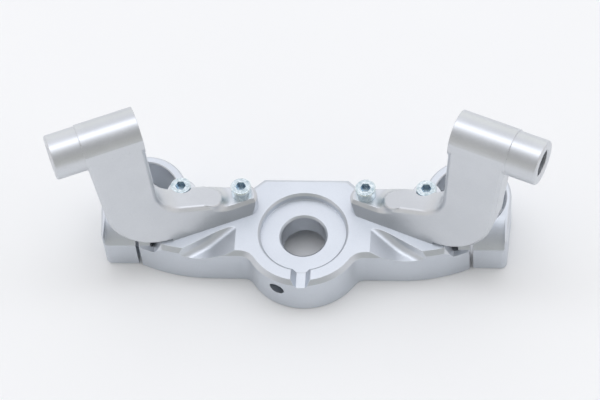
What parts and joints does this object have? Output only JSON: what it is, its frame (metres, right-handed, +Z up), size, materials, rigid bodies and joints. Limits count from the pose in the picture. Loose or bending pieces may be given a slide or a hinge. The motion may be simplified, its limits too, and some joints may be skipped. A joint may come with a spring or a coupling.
{
  "type": "motorcycle triple clamp",
  "caption": "Upper fork yoke with a dished steering stem seat, slotted fork clamps and bolted handlebar risers ending in bar spigots.",
  "frame": {"origin": "on the steering stem's axis, in the plane of the flat underside", "axes": "+Z up along the stem, +X to the rider's right, +Y towards the front wheel"},
  "size_m": [0.3118, 0.0948, 0.1297],
  "materials": {
    "yoke_aluminium": "silver satin anodised",
    "riser_aluminium": "silver satin anodised",
    "screw_zinc": "bright zinc plated"
  },
  "bodies": {
    "root": {"yoke": "yoke_aluminium", "riser_left": "riser_aluminium", "riser_right": "riser_aluminium", "riser_screw_inner_left": "screw_zinc", "riser_screw_inner_right": "screw_zinc", "riser_screw_outer_left": "screw_zinc", "riser_screw_outer_right": "screw_zinc"}
  },
  "joints": []
}
